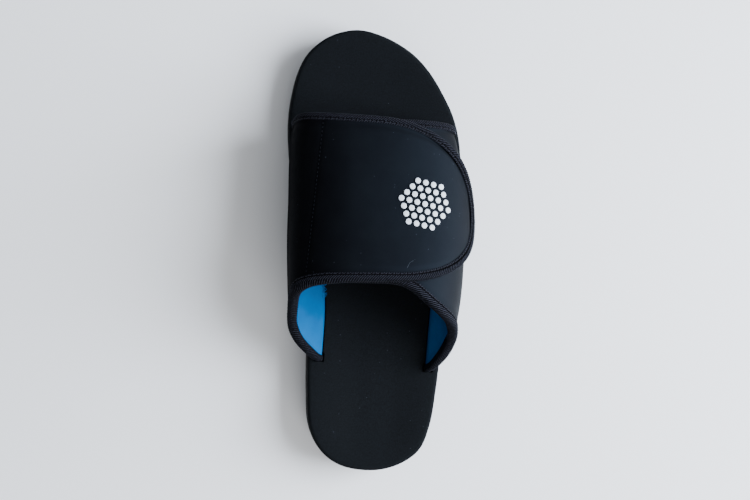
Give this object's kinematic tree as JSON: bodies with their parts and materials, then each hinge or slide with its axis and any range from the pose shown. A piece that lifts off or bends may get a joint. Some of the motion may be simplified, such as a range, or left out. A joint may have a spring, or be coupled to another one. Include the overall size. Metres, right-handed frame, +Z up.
{
  "type": "slide sandal",
  "caption": "Slide sandal for the right foot: layered foam sole, contoured footbed, and a padded instep upper with bound edges that closes with hook and loop.",
  "frame": {"origin": "on the floor under the middle of the heel, on the outsole's flat heel", "axes": "+Z up, -Y towards the toe, +X towards the inner (medial) side of this right shoe"},
  "size_m": [0.1182, 0.285, 0.0916],
  "materials": {
    "outsole_rubber": "matt moulded",
    "midsole_foam": "matt closed-cell foam",
    "footbed_foam": "matt fine-grained foam",
    "upper_fabric": "smooth knit laminated to foam, soft sheen",
    "binding_tape": "ribbed woven tape"
  },
  "bodies": {
    "root": {"outsole": "outsole_rubber", "midsole": "midsole_foam", "footbed": "footbed_foam", "upper": "upper_fabric", "flap_binding": "binding_tape", "band_binding": "binding_tape"}
  },
  "joints": []
}
